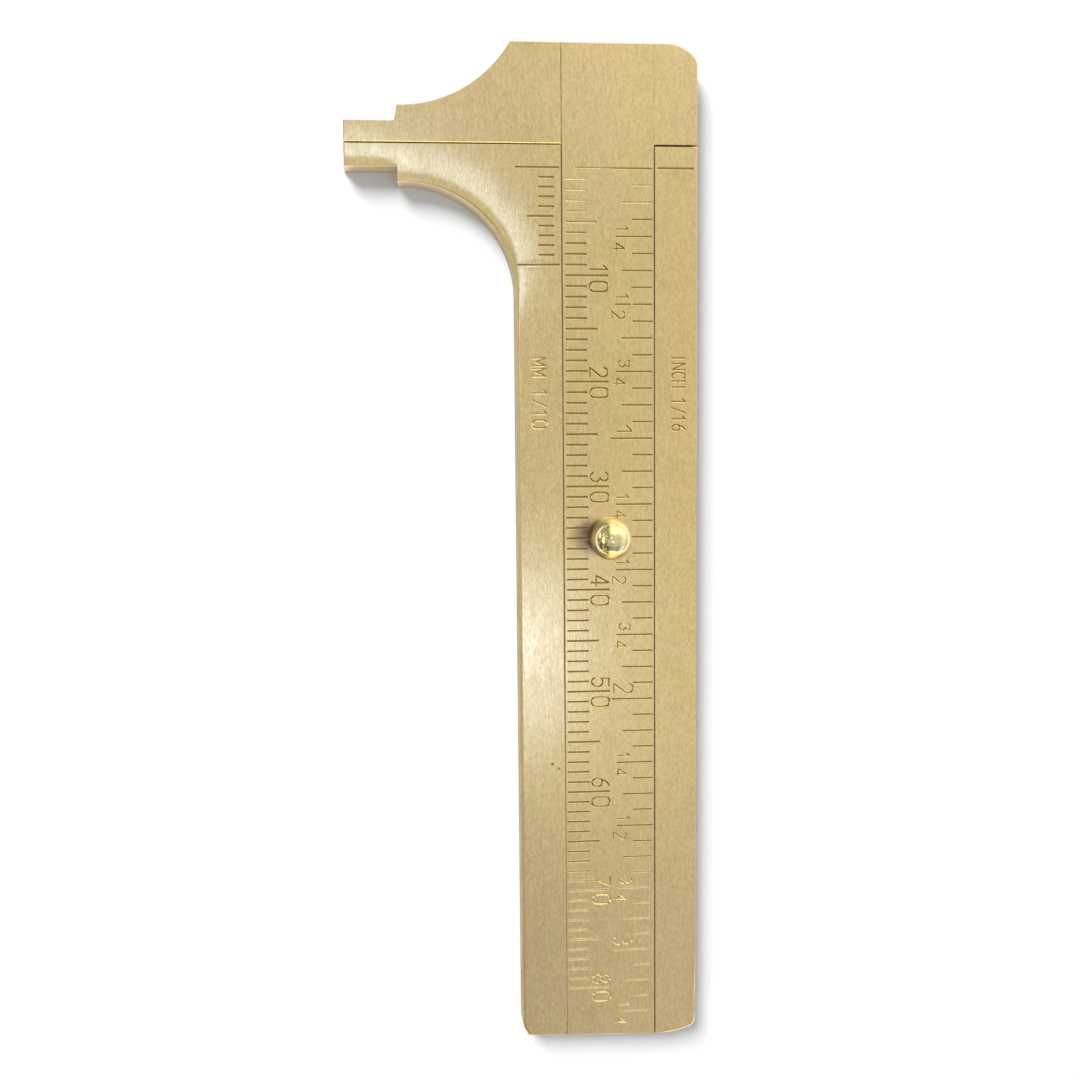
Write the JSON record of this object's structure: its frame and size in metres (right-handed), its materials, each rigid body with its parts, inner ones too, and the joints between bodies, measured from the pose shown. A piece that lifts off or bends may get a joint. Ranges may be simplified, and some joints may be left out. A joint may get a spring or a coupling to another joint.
{
  "type": "brass sliding gauge",
  "caption": "Pocket sliding caliper gauge in brushed brass: stepped jaws, dovetail scale bar with millimetre and inch scales, vernier and ball thumb knob.",
  "frame": {"origin": "middle of the outline on the back face, with the slide closed", "axes": "+Z out of the engraved face, +Y along the slide towards the head and its opening direction, +X towards the inch side, away from the jaws"},
  "size_m": [0.0332, 0.0966, 0.0059],
  "materials": {
    "brass_face": "satin, brushed along the length, engraved",
    "brass_back": "satin, brushed, lightly handled",
    "brass_rivet": "filed flush, satin",
    "brass_polished": "polished, turned",
    "spring_bronze": "rolled strip, satin"
  },
  "bodies": {
    "frame": {"frame_back_plate": "brass_back", "fixed_jaw_rail": "brass_face", "index_rail": "brass_face", "frame_rivets": "brass_rivet", "stop_pin": "brass_rivet"},
    "slide": {"scale_bar": "brass_face", "sliding_jaw": "brass_face", "head_cheek": "brass_face", "head_back_plate": "brass_back", "head_rivets": "brass_rivet", "thumb_knob": "brass_polished", "friction_spring": "spring_bronze", "spring_rivet": "brass_rivet"}
  },
  "joints": [
    {"name": "slide_travel", "type": "slide", "parent": "frame", "child": "slide", "axis": [0, 1, 0], "range_m": [0, 0.08]}
  ]
}
